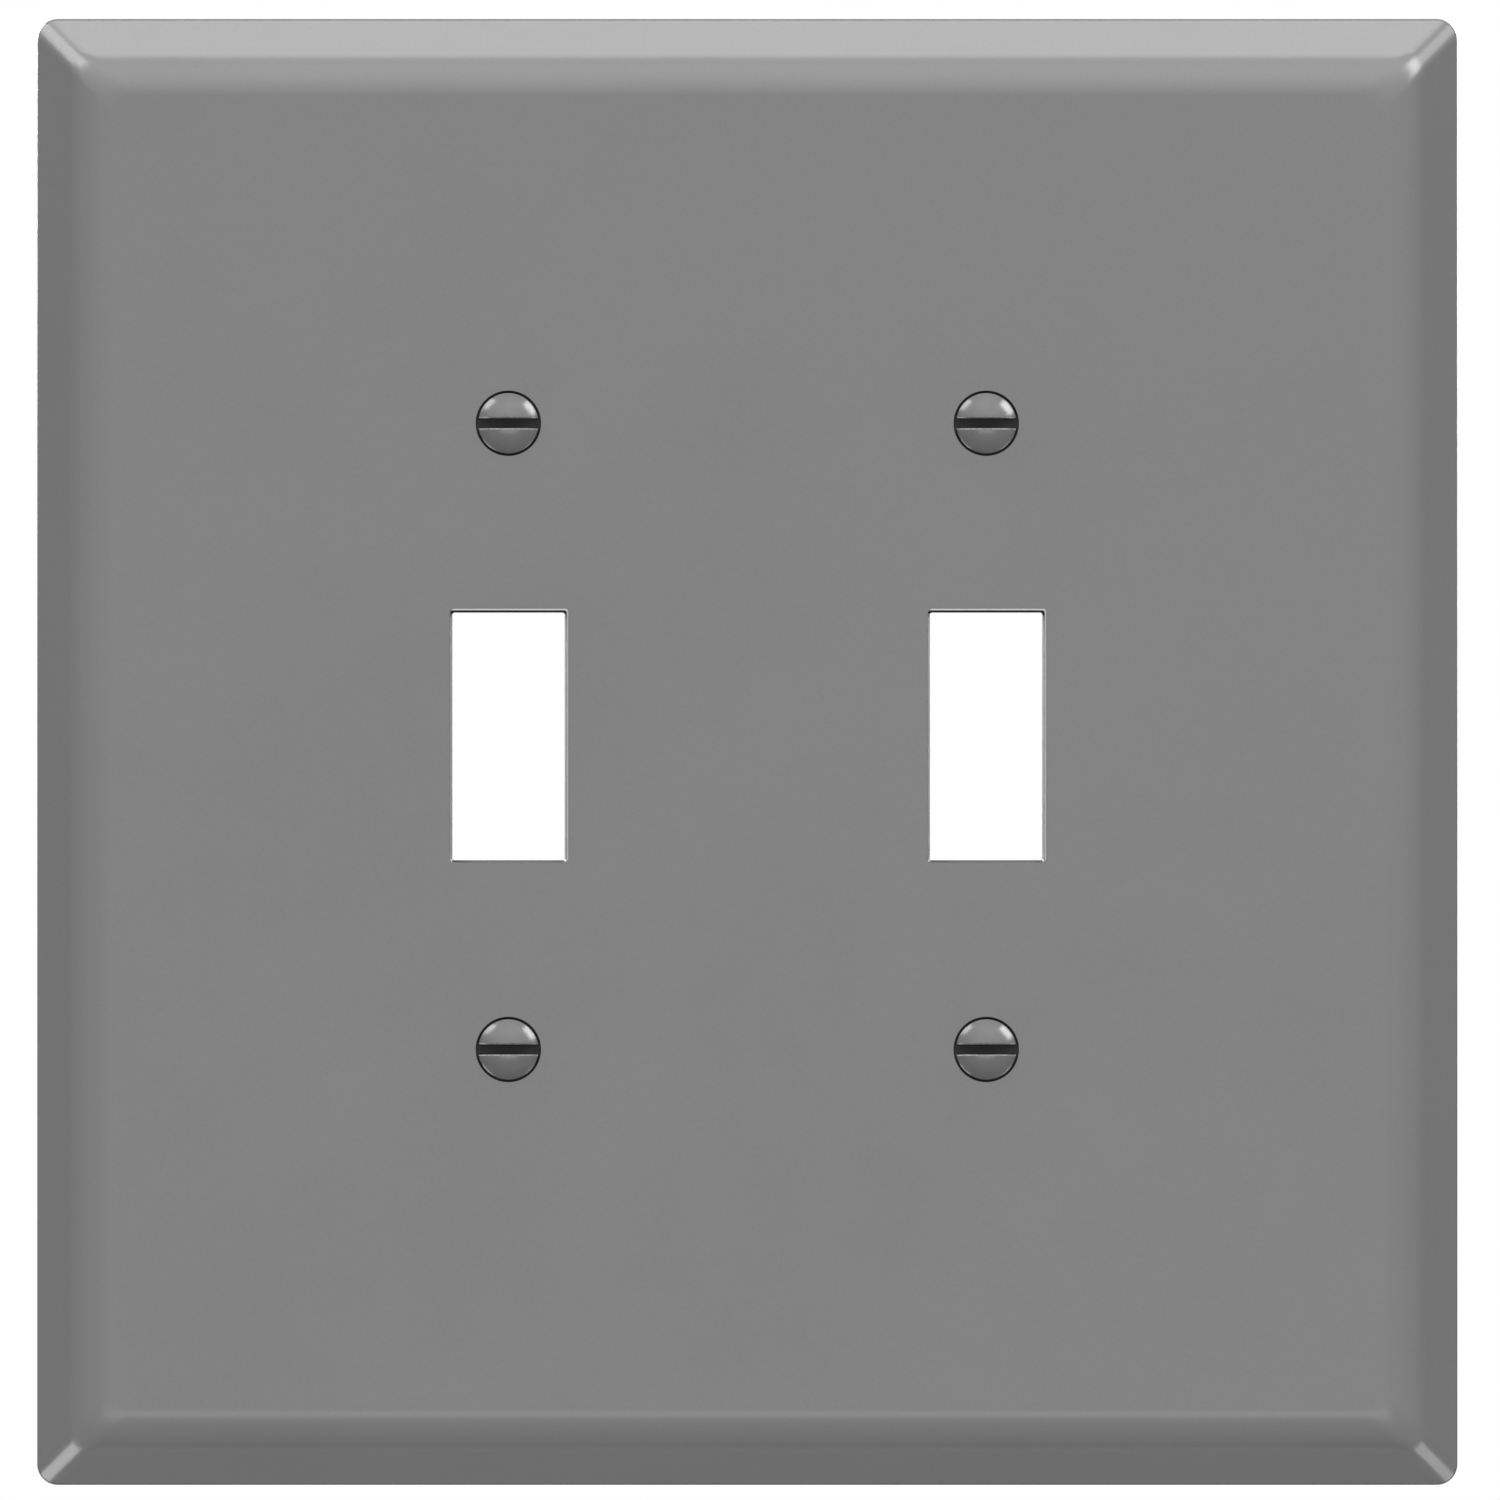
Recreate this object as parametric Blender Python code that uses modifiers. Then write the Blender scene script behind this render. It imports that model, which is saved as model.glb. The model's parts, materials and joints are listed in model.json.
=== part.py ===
"""An oversize two-gang wall plate for toggle switches, with its four oval-head screws.

X runs across the plate, Z runs up, and Y runs into the wall. The wall's surface is Y = 0, the plate
stands out of it towards -Y, and the origin is the middle of the four-screw pattern. Sizes are in metres.
"""

import math

import bmesh
import bpy

MM = 0.001
INCH = 0.0254

# The plate: its outline, and the section of its edge from the wall to the flat front.
PLATE_WIDTH = 137.0 * MM
PLATE_HEIGHT = 141.4 * MM
PLATE_DEPTH = 6.6 * MM
PATTERN_RISE = 1.5 * MM  # the screw pattern's middle, above the plate's own middle
CORNER_RADIUS = 2.0 * MM
WALL = 2.1 * MM
RIM_LIP = 1.2 * MM  # height of the straight side that meets the wall
BEVEL_ANGLE = math.radians(48.0)  # the bevel's slope from the wall
SHOULDER_RADIUS = 6.0 * MM  # rolls the bevel over to the flat front
HOLLOW_CORNER_RADIUS = 1.0 * MM

# The device pattern: two toggle switches side by side, each with one screw above and one below.
GANG_SPACING = 1.8125 * INCH
SCREW_SPACING = 2.375 * INCH
OPENING_WIDTH = 10.9 * MM
OPENING_HEIGHT = 23.95 * MM
OPENING_CORNER_RADIUS = 0.3 * MM

# What stands on the back of the front wall.
BOSS_WALL = 2.2 * MM  # plastic around a screw hole
BOSS_HEIGHT = 2.2 * MM
COLLAR_WALL = 1.2 * MM  # plastic around a toggle opening
COLLAR_HEIGHT = 1.6 * MM
RIB_WIDTH = 1.2 * MM
RIB_HEIGHT = 1.2 * MM

# The screw: a number 6 machine thread, 32 to the inch, half an inch long under its head's widest ring.
THREAD_DIAMETER = 0.138 * INCH
SCREW_LENGTH = 0.5 * INCH
TIP_CHAMFER = 0.5 * MM
HEAD_DIAMETER = 5.9 * MM
HEAD_LAND = 0.05 * MM  # the narrow straight band round the head's widest ring
HEAD_CONE_ANGLE = math.radians(82.0)
RECESS_DEPTH = 0.6 * MM  # the straight-sided recess that the head's rim sits in
DOME_HEIGHT = 0.95 * MM
SLOT_WIDTH = 0.95 * MM
SLOT_DEPTH = 1.35 * MM  # below the top of the dome

# Fits
SHANK_CLEARANCE = 0.3 * MM  # between the thread and the plate's hole
SEAT_CLEARANCE = 0.17 * MM  # between the head's cone and the countersink, across the axis

# How finely the round shapes are divided, and how far a cutter runs past what it cuts.
TURNED_STEPS = 48
CORNER_STEPS = 8
SHOULDER_STEPS = 8
DOME_STEPS = 6
OVERRUN = 1.0 * MM

HOLE_RADIUS = THREAD_DIAMETER / 2 + SHANK_CLEARANCE
HEAD_RADIUS = HEAD_DIAMETER / 2
CONE_SLOPE = math.tan(HEAD_CONE_ANGLE / 2)  # radius gained for each unit along the axis


def clear_scene():
    for old in list(bpy.data.objects):
        bpy.data.objects.remove(old, do_unlink=True)


def new_collection(name, parent):
    collection = bpy.data.collections.new(name)
    parent.children.link(collection)
    return collection


def new_material(name, color, roughness, metallic):
    material = bpy.data.materials.new(name)
    material.use_nodes = True
    shader = material.node_tree.nodes["Principled BSDF"]
    shader.inputs["Base Color"].default_value = (*color, 1.0)
    shader.inputs["Roughness"].default_value = roughness
    shader.inputs["Metallic"].default_value = metallic
    material.diffuse_color = (*color, 1.0)
    return material


def plate_material():
    """Mid grey moulded plastic with a satin gloss."""
    return new_material("grey_moulded_plastic", (0.223, 0.223, 0.223), 0.32, 0.0)


def screw_material():
    """Darker glossy grey enamel over steel."""
    return new_material("grey_enamelled_steel", (0.150, 0.150, 0.150), 0.20, 0.35)


def object_from_bmesh(name, mesh_builder, collection):
    mesh = bpy.data.meshes.new(name)
    mesh_builder.to_mesh(mesh)
    mesh_builder.free()
    obj = bpy.data.objects.new(name, mesh)
    collection.objects.link(obj)
    return obj


def hide_helper(obj):
    obj.hide_render = True
    obj.display_type = "WIRE"


def edge_section(depth, lip, shoulder, start):
    """(inset, height) pairs up the side of a tray: its straight lip, its bevel and its rounded shoulder."""
    rolled = shoulder * (1 - math.cos(BEVEL_ANGLE))
    bevel_run = (depth - lip - rolled) / math.tan(BEVEL_ANGLE)
    section = [(0.0, start), (0.0, lip)]
    for step in range(SHOULDER_STEPS + 1):
        slope = BEVEL_ANGLE * (1 - step / SHOULDER_STEPS)
        inset = bevel_run + shoulder * (math.sin(BEVEL_ANGLE) - math.sin(slope))
        height = depth - shoulder * (1 - math.cos(slope))
        section.append((inset, height))
    return section


def rounded_ring(width, height, radius):
    """(x, z) points round a rectangle with rounded corners, centred on the plate."""
    corners = (
        (width / 2 - radius, height / 2 - radius, 0.0),
        (radius - width / 2, height / 2 - radius, 90.0),
        (radius - width / 2, radius - height / 2, 180.0),
        (width / 2 - radius, radius - height / 2, 270.0),
    )
    points = []
    for x, z, first in corners:
        for step in range(CORNER_STEPS + 1):
            turn = math.radians(first + 90.0 * step / CORNER_STEPS)
            points.append((x + radius * math.cos(turn), z + radius * math.sin(turn)))
    return points


def bevelled_tray(name, width, height, section, radius, collection):
    """A closed block lofted through one rounded rectangle for each pair of the section."""
    builder = bmesh.new()
    previous = None
    first = None
    for inset, level in section:
        ring = rounded_ring(width - 2 * inset, height - 2 * inset, radius)
        verts = [builder.verts.new((x, -level, z - PATTERN_RISE)) for x, z in ring]
        edges = [builder.edges.new(pair) for pair in zip(verts, verts[1:] + verts[:1])]
        if previous:
            bmesh.ops.bridge_loops(builder, edges=previous + edges)
        else:
            first = verts
        previous = edges
    builder.faces.new(first)
    builder.faces.new(verts)
    bmesh.ops.recalc_face_normals(builder, faces=builder.faces)
    return object_from_bmesh(name, builder, collection)


def block(name, size, centre, collection):
    """A rectangular block of the given (x, y, z) size."""
    builder = bmesh.new()
    bmesh.ops.create_cube(builder, size=1.0)
    bmesh.ops.scale(builder, vec=size, verts=builder.verts)
    bmesh.ops.translate(builder, vec=centre, verts=builder.verts)
    return object_from_bmesh(name, builder, collection)


def turned(name, profile, collection):
    """A solid turned about its own Z from (radius, z) points that run down its outer side."""
    builder = bmesh.new()
    verts = [builder.verts.new((radius, 0.0, z)) for radius, z in profile]
    for pair in zip(verts, verts[1:]):
        builder.edges.new(pair)
    obj = object_from_bmesh(name, builder, collection)
    turn = obj.modifiers.new("turn", "SCREW")
    turn.axis = "Z"
    turn.angle = 2 * math.pi
    turn.steps = TURNED_STEPS
    turn.render_steps = TURNED_STEPS
    turn.use_merge_vertices = True
    turn.merge_threshold = 0.001 * MM
    return obj


def face_forward(obj, x, z):
    """Puts a turned piece's origin on the plate's front face, with its own +Z pointing out of the wall."""
    obj.location = (x, -PLATE_DEPTH, z)
    obj.rotation_euler = (math.radians(90.0), 0.0, 0.0)


def cut(obj, tool):
    """Cuts one object, or every object of a collection, out of obj."""
    modifier = obj.modifiers.new("cut_" + tool.name, "BOOLEAN")
    modifier.operation = "DIFFERENCE"
    modifier.solver = "EXACT"
    if isinstance(tool, bpy.types.Collection):
        modifier.operand_type = "COLLECTION"
        modifier.collection = tool
    else:
        modifier.object = tool


def settle_modifiers(obj):
    """Replaces an object's mesh with its evaluated one, smooth where it is round and sharp at its corners."""
    bpy.context.view_layer.update()
    evaluated = obj.evaluated_get(bpy.context.evaluated_depsgraph_get())
    mesh = bpy.data.meshes.new_from_object(evaluated)
    mesh.name = obj.name
    obj.modifiers.clear()
    obj.data = mesh
    mesh.shade_smooth()
    mesh.set_sharp_from_angle(angle=math.radians(30.0))


def gang_columns():
    return (("left", -GANG_SPACING / 2), ("right", GANG_SPACING / 2))


def screw_rows():
    return (("upper", SCREW_SPACING / 2), ("lower", -SCREW_SPACING / 2))


def back_block(name, width, height, reach, x, z, collection):
    """A block that stands on the back of the front wall and reaches this far towards the wall."""
    inner_face = PLATE_DEPTH - WALL
    size = (width, reach + OVERRUN, height)
    middle = (x, -(inner_face + OVERRUN / 2 - reach / 2), z)
    return block(name, size, middle, collection)


def make_standing_features(collection):
    """The bosses, collars and ribs that the hollow leaves standing."""
    for side, x in gang_columns():
        collar_width = OPENING_WIDTH + 2 * COLLAR_WALL
        collar_height = OPENING_HEIGHT + 2 * COLLAR_WALL
        back_block(side + "_collar", collar_width, collar_height, COLLAR_HEIGHT, x, 0.0, collection)
        back_block(side + "_rib", RIB_WIDTH, PLATE_HEIGHT, RIB_HEIGHT, x, -PATTERN_RISE, collection)
        for row, z in screw_rows():
            radius = HOLE_RADIUS + BOSS_WALL
            top = OVERRUN - WALL
            bottom = -(WALL + BOSS_HEIGHT)
            profile = [(0.0, top), (radius, top), (radius, bottom), (0.0, bottom)]
            face_forward(turned(f"{row}_{side}_boss", profile, collection), x, z)
    for obj in collection.objects:
        hide_helper(obj)


def make_hollow(standing, collection):
    """The space behind the plate: its section follows the plate's at the distance of one wall."""
    cos, sin, tan = math.cos(BEVEL_ANGLE), math.sin(BEVEL_ANGLE), math.tan(BEVEL_ANGLE)
    lip = RIM_LIP - WALL * cos + WALL * (1 - sin) * tan
    section = edge_section(PLATE_DEPTH - WALL, lip, SHOULDER_RADIUS - WALL, -OVERRUN)
    width = PLATE_WIDTH - 2 * WALL
    height = PLATE_HEIGHT - 2 * WALL
    hollow = bevelled_tray("hollow", width, height, section, HOLLOW_CORNER_RADIUS, collection)
    cut(hollow, standing)


def make_opening_cutter(name, x, collection):
    """A toggle's rectangular way through the plate, with slightly rounded corners."""
    length = PLATE_DEPTH + 2 * OVERRUN
    cutter = block(name, (OPENING_WIDTH, length, OPENING_HEIGHT), (x, -PLATE_DEPTH / 2, 0.0), collection)
    builder = bmesh.new()
    builder.from_mesh(cutter.data)
    through = [edge for edge in builder.edges if abs(edge.verts[0].co.y - edge.verts[1].co.y) > length / 2]
    bmesh.ops.bevel(
        builder, geom=through, offset=OPENING_CORNER_RADIUS, segments=3, profile=0.5, affect="EDGES"
    )
    builder.to_mesh(cutter.data)
    builder.free()


def make_screw_hole_cutter(name, x, z, collection):
    """A straight recess round the head's rim, a cone one clearance outside the head's own, and the hole."""
    mouth = HEAD_RADIUS + HEAD_LAND * CONE_SLOPE + SEAT_CLEARANCE
    cone_depth = (mouth - HOLE_RADIUS) / CONE_SLOPE
    bottom = -(WALL + BOSS_HEIGHT + OVERRUN)
    profile = [
        (0.0, OVERRUN),
        (mouth, OVERRUN),
        (mouth, -RECESS_DEPTH),
        (mouth - RECESS_DEPTH * CONE_SLOPE, -RECESS_DEPTH),
        (HOLE_RADIUS, -cone_depth),
        (HOLE_RADIUS, bottom),
        (0.0, bottom),
    ]
    face_forward(turned(name, profile, collection), x, z)


def make_wall_plate(parts, standing, cutters):
    """The moulded plate: a bevelled tray, hollow behind, with its toggle openings and screw holes."""
    section = edge_section(PLATE_DEPTH, RIM_LIP, SHOULDER_RADIUS, 0.0)
    plate = bevelled_tray("wall_plate", PLATE_WIDTH, PLATE_HEIGHT, section, CORNER_RADIUS, parts)
    make_standing_features(standing)
    make_hollow(standing, cutters)
    for side, x in gang_columns():
        make_opening_cutter(side + "_opening", x, cutters)
        for row, z in screw_rows():
            make_screw_hole_cutter(f"{row}_{side}_hole", x, z, cutters)
    for obj in cutters.objects:
        hide_helper(obj)
    cut(plate, cutters)
    settle_modifiers(plate)
    plate.data.materials.append(plate_material())
    return plate


def screw_profile():
    """(radius, z) down the screw: the dome, the head's ring and cone, the shank and its chamfered tip."""
    dome_radius = (HEAD_RADIUS**2 + DOME_HEIGHT**2) / (2 * DOME_HEIGHT)
    dome_angle = math.asin(HEAD_RADIUS / dome_radius)
    profile = []
    for step in range(DOME_STEPS + 1):
        turn = dome_angle * step / DOME_STEPS
        height = DOME_HEIGHT - dome_radius * (1 - math.cos(turn))
        profile.append((dome_radius * math.sin(turn), height))
    shank = THREAD_DIAMETER / 2
    profile += [
        (HEAD_RADIUS, -HEAD_LAND),
        (shank, -HEAD_LAND - (HEAD_RADIUS - shank) / CONE_SLOPE),
        (shank, TIP_CHAMFER - SCREW_LENGTH),
        (shank - TIP_CHAMFER, -SCREW_LENGTH),
        (0.0, -SCREW_LENGTH),
    ]
    return profile


def make_screw_mesh(parts, cutters):
    """One slotted oval-head screw along Z, with the head's ring at Z = 0 and the slot along X."""
    screw = turned("screw", screw_profile(), parts)
    slot_length = HEAD_DIAMETER + 2 * OVERRUN
    slot_floor = DOME_HEIGHT - SLOT_DEPTH
    slot_height = SLOT_DEPTH + OVERRUN
    middle = (0.0, 0.0, slot_floor + slot_height / 2)
    slot = block("slot", (slot_length, SLOT_WIDTH, slot_height), middle, cutters)
    hide_helper(slot)
    cut(screw, slot)
    settle_modifiers(screw)
    mesh = screw.data
    bpy.data.objects.remove(screw)
    mesh.materials.append(screw_material())
    return mesh


def make_screws(parts, plate, cutters):
    """The four screws, each with its origin on its own axis, at the plate's front face."""
    mesh = make_screw_mesh(parts, cutters)
    for side, x in gang_columns():
        for row, z in screw_rows():
            screw = bpy.data.objects.new(f"{row}_{side}_screw", mesh)
            parts.objects.link(screw)
            screw.parent = plate
            face_forward(screw, x, z)


def main():
    clear_scene()
    scene_collection = bpy.context.scene.collection
    parts = new_collection("two_gang_toggle_wall_plate", scene_collection)
    helpers = new_collection("helpers", scene_collection)
    standing = new_collection("standing_features", helpers)
    plate_cutters = new_collection("plate_cutters", helpers)
    screw_cutters = new_collection("screw_cutters", helpers)
    plate = make_wall_plate(parts, standing, plate_cutters)
    make_screws(parts, plate, screw_cutters)


main()
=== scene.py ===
# %% [markdown]
# # An oversize two-gang wall plate for toggle switches
#
# The real thing is one plastic moulding and the four screws that hold it. The plate is a shallow tray
# turned face down: a flat front, a rolled shoulder, a bevel, a short rim, and a hollow behind. This lesson
# makes those five pieces around a fixed frame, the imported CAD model, which says where everything goes.

# %% Load the fixed frame
import json
import math

import bmesh
import bpy
from mathutils import Matrix, Vector


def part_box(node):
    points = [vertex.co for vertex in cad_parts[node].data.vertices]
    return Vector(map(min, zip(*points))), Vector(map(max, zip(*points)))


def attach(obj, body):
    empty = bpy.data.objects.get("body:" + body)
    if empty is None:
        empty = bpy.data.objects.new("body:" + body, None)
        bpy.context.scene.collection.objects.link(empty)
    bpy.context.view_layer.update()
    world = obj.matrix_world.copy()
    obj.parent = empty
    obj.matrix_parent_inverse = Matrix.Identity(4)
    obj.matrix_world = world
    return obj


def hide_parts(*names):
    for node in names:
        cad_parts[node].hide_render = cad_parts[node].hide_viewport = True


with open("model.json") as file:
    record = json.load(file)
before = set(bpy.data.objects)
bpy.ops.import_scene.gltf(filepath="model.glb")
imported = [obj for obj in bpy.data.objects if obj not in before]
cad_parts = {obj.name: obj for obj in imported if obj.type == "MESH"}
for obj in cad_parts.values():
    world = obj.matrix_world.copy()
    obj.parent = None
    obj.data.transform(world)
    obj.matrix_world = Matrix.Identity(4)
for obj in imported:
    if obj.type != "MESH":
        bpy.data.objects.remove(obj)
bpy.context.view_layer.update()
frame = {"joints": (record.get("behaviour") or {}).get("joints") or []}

# %% [markdown]
# The frame already knows the plate's outline and the screws' axes, so they are read from it. What a frame
# can't tell, such as the wall's thickness or the slope of the bevel, is written here once. OVERRUN is how
# far a cutting shape runs past what it cuts, and HAIR is the least step that keeps two surfaces from
# coinciding.

# %% Sizes of the plate
MM = 0.001
plate_low, plate_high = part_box("wall_plate")
PLATE_WIDTH = plate_high.x - plate_low.x
PLATE_HEIGHT = plate_high.z - plate_low.z
PLATE_DEPTH = plate_high.y - plate_low.y
PLATE_MIDDLE = (plate_low.z + plate_high.z) / 2
SCREW_PLACES = {joint["child"]: Vector(joint["pos_m"]) for joint in frame["joints"]}
GANG_COLUMNS = sorted({round(place.x, 6) for place in SCREW_PLACES.values()})
WALL = 2.1 * MM
INNER_FACE = PLATE_DEPTH - WALL
BEVEL_SLOPE = math.radians(48.0)
OVERRUN = 1.0 * MM
HAIR = 0.01 * MM
print(f"plate {PLATE_WIDTH / MM:.1f} x {PLATE_HEIGHT / MM:.1f} x {PLATE_DEPTH / MM:.1f} mm")

# %% [markdown]
# Everything here is drawn as a path and then swept or turned. A moulded or machined path never has a truly
# sharp corner, so one helper rounds corners: each is (x, y) if it stays sharp, or (x, y, radius, steps).

# %% A path with rounded corners
def rounded_path(*corners):
    """Points along a path, with an arc of the given radius and number of steps in place of each corner."""
    points = [Vector(corners[0][:2])]
    for before, corner, after in zip(corners, corners[1:], corners[2:]):
        tip = Vector(corner[:2])
        if len(corner) == 2:
            points.append(tip)
            continue
        radius, steps = corner[2:]
        back = (Vector(before[:2]) - tip).normalized()
        on = (Vector(after[:2]) - tip).normalized()
        half = back.angle(on) / 2
        centre = tip + (back + on).normalized() * radius / math.sin(half)
        start = tip + back * radius / math.tan(half) - centre
        end = tip + on * radius / math.tan(half) - centre
        sweep = math.atan2(start.x * end.y - start.y * end.x, start.dot(end))
        for step in range(steps + 1):
            turn = sweep * step / steps
            x = start.x * math.cos(turn) - start.y * math.sin(turn)
            y = start.x * math.sin(turn) + start.y * math.cos(turn)
            points.append(centre + Vector((x, y)))
    points.append(Vector(corners[-1][:2]))
    return points


# %% Helpers for objects
def new_object(name, mesh):
    """An object that holds a mesh and stays out of the render until it is finished."""
    obj = bpy.data.objects.new(name, mesh)
    bpy.context.scene.collection.objects.link(obj)
    obj.hide_render = True
    return obj


def settle(obj):
    """Replaces an object's mesh with what its modifiers make of it, and removes them."""
    bpy.context.view_layer.update()
    depsgraph = bpy.context.evaluated_depsgraph_get()
    evaluated = obj.evaluated_get(depsgraph)
    mesh = bpy.data.meshes.new_from_object(evaluated, preserve_all_data_layers=True, depsgraph=depsgraph)
    obj.modifiers.clear()
    obj.data = mesh
    mesh.name = obj.name
    return obj


def edit(obj, change):
    """Runs a change on an object's mesh in edit form."""
    builder = bmesh.new()
    builder.from_mesh(obj.data)
    change(builder)
    builder.to_mesh(obj.data)
    builder.free()


def close_ends(builder):
    """Caps every open end and turns all faces outwards."""
    rims = [edge for edge in builder.edges if edge.is_boundary]
    bmesh.ops.holes_fill(builder, edges=rims, sides=0)
    bmesh.ops.recalc_face_normals(builder, faces=builder.faces)


# %% Helpers for node trees
def add(tree, kind, feeds=None, **options):
    """Adds a node, sets its options, and feeds each input a value or another node's output."""
    node = tree.nodes.new(kind)
    for option, value in options.items():
        setattr(node, option, value)
    for name, value in (feeds or {}).items():
        if isinstance(value, bpy.types.NodeSocket):
            tree.links.new(value, node.inputs[name])
        else:
            node.inputs[name].default_value = value
    return node


def maths(tree, operation, *values):
    """The result of a Math node."""
    return add(tree, "ShaderNodeMath", dict(enumerate(values)), operation=operation).outputs[0]


def new_tree(name, inputs):
    """A Geometry Nodes tree with these named inputs, and its Group Input's outputs by name."""
    tree = bpy.data.node_groups.new(name, "GeometryNodeTree")
    for label, kind in inputs.items():
        tree.interface.new_socket(name=label, in_out="INPUT", socket_type="NodeSocket" + kind)
    tree.interface.new_socket(name="Geometry", in_out="OUTPUT", socket_type="NodeSocketGeometry")
    return tree, tree.nodes.new("NodeGroupInput").outputs


def finish_tree(tree, geometry, finish):
    """Ends a tree: real geometry, one finish, and the output."""
    real = add(tree, "GeometryNodeRealizeInstances", {"Geometry": geometry})
    done = add(tree, "GeometryNodeSetMaterial", {"Geometry": real.outputs[0], "Material": finish})
    add(tree, "NodeGroupOutput", {"Geometry": done.outputs[0]})


def run_tree(name, tree, values):
    """An object whose mesh is what the tree makes with these values."""
    obj = new_object(name, bpy.data.meshes.new(name))
    modifier = obj.modifiers.new(tree.name, "NODES")
    modifier.node_group = tree
    for socket in tree.interface.items_tree:
        if socket.in_out == "INPUT":
            modifier[socket.identifier] = values[socket.name]
    return settle(obj)


# %% [markdown]
# ## Finishes
#
# The plate comes out of a polished mould, so its front is a satin-gloss grey with the faintest orange
# peel. The hollow's side of the mould is left as spark erosion made it, so the back is matt and grainy.
# The walls of the toggle openings are where two parts of the mould slide shut, so they are dull, and
# their grey is darkened as painted shade. The burr at their front edge is painted paler, as a painted
# highlight, and the countersinks are painted near black, as painted shade round the heads. All five are
# one plastic: only the tone, the roughness and the relief differ, so one function makes them all. Every
# pattern is read from Object coordinates, which are metres here: a scale of 1000 gives features of
# about a millimetre.

# %% Helpers for finishes
def new_finish(name):
    """A material, its node tree, its shader, and the object coordinates that its patterns read."""
    material = bpy.data.materials.new(name)
    material.use_nodes = True
    tree = material.node_tree
    coordinates = tree.nodes.new("ShaderNodeTexCoord").outputs["Object"]
    return material, tree, tree.nodes["Principled BSDF"], coordinates


def noise(tree, coordinates, scale, detail=2.0, roughness=0.5):
    """The grey value of a noise of this many features to the metre."""
    feeds = {"Vector": coordinates, "Scale": scale, "Detail": detail, "Roughness": roughness}
    return add(tree, "ShaderNodeTexNoise", feeds).outputs[0]


def between(tree, value, low, high, start=0.3, end=0.7):
    """Spreads a noise's useful range, start to end, over low to high."""
    feeds = {"Value": value, "From Min": start, "From Max": end, "To Min": low, "To Max": high}
    return add(tree, "ShaderNodeMapRange", feeds).outputs[0]


def grey(tree, value):
    """The colour that has this value in red, green and blue."""
    return add(tree, "ShaderNodeCombineColor", {"Red": value, "Green": value, "Blue": value}).outputs[0]


def relief(tree, shader, height, depth, normal=None):
    """Presses a height pattern into the surface, to this depth in metres."""
    bump = add(tree, "ShaderNodeBump", {"Strength": 1.0, "Distance": depth, "Height": height})
    if normal:
        tree.links.new(normal, bump.inputs["Normal"])
    tree.links.new(bump.outputs[0], shader.inputs["Normal"])
    return bump.outputs[0]


# %% The plate's finishes
PLASTIC_GREY = 0.13
# Paler than the plate: a painted highlight along the burr at the top and right edges of the openings.
BURR_HIGHLIGHT_GREY = 0.3
# Darker than the plate: painted shade on the walls of the toggle openings.
WALL_SHADE_GREY = 0.06
# Near black: painted shade in the countersinks, round each screw head.
SEAT_SHADE_GREY = 0.012
PLASTIC_IOR = 1.58
CLOUD_SPREAD = 0.015
SPECK_SPREAD = 0.025
GLOSS_SPREAD = 0.06


def moulded_plastic(name, level, roughness, peel_depth, grain_depth, grain_scale):
    """Grey moulded plastic: cloudy tone, pigment specks, uneven gloss, soft orange peel and fine grain."""
    material, tree, shader, coordinates = new_finish(name)
    clouds = noise(tree, coordinates, scale=45.0)
    clouds = between(tree, clouds, 1 - CLOUD_SPREAD, 1 + CLOUD_SPREAD)
    specks = noise(tree, coordinates, scale=5200.0, detail=0.0)
    specks = between(tree, specks, 1 - SPECK_SPREAD, 1 + SPECK_SPREAD)
    tone = maths(tree, "MULTIPLY", maths(tree, "MULTIPLY", clouds, specks), level)
    tree.links.new(grey(tree, tone), shader.inputs["Base Color"])
    patches = noise(tree, coordinates, scale=160.0, detail=3.0)
    gloss = between(tree, patches, roughness * (1 - GLOSS_SPREAD), roughness * (1 + GLOSS_SPREAD))
    tree.links.new(gloss, shader.inputs["Roughness"])
    peel = relief(tree, shader, noise(tree, coordinates, scale=650.0, detail=1.0), peel_depth)
    grain = noise(tree, coordinates, scale=grain_scale, roughness=0.6)
    relief(tree, shader, grain, grain_depth, peel)
    shader.inputs["IOR"].default_value = PLASTIC_IOR
    return material


# name, grey, roughness, depth of the orange peel, depth of the grain, grains to the metre
face_finish = moulded_plastic("polished_grey_plastic", PLASTIC_GREY, 0.24, 0.012 * MM, 0.0012 * MM, 4200.0)
back_finish = moulded_plastic("spark_eroded_grey_plastic", PLASTIC_GREY, 0.6, 0.02 * MM, 0.02 * MM, 5200.0)
burr_highlight_finish = moulded_plastic("scraped_grey_plastic", BURR_HIGHLIGHT_GREY, 0.5, 0.01 * MM, 0.01 * MM, 6000.0)
wall_shade_finish = moulded_plastic("matt_grey_plastic", WALL_SHADE_GREY, 0.55, 0.01 * MM, 0.01 * MM, 5200.0)
seat_shade_finish = moulded_plastic("soiled_grey_plastic", SEAT_SHADE_GREY, 0.7, 0.01 * MM, 0.01 * MM, 6000.0)

# %% [markdown]
# The screws are steel. Their heads are dipped in a glossy grey enamel, a shade darker than the plate. The
# driver rubs it off the lips of the slot, so an attribute, bare_edge, that the screws' node tree writes
# lets zinc through there, in patches. The slot itself is painted near black, as painted shade, and the
# thread is bright zinc.

# %% The screws' three finishes
ENAMEL_GREY = 0.092
ENAMEL_IOR = 1.65
ENAMEL_ROUGHNESS = (0.17, 0.23)
BARE_SHARE = (0.0, 0.2)
ZINC = (0.60, 0.61, 0.62, 1.0)
ZINC_GREY = (0.52, 0.66)
ZINC_ROUGHNESS = (0.28, 0.42)
# Near black: painted shade in the slot.
SLOT_SHADE_GREY = (0.008, 0.016)
SLOT_ROUGHNESS = (0.45, 0.6)
SLOT_SHINE = 0.25


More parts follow.
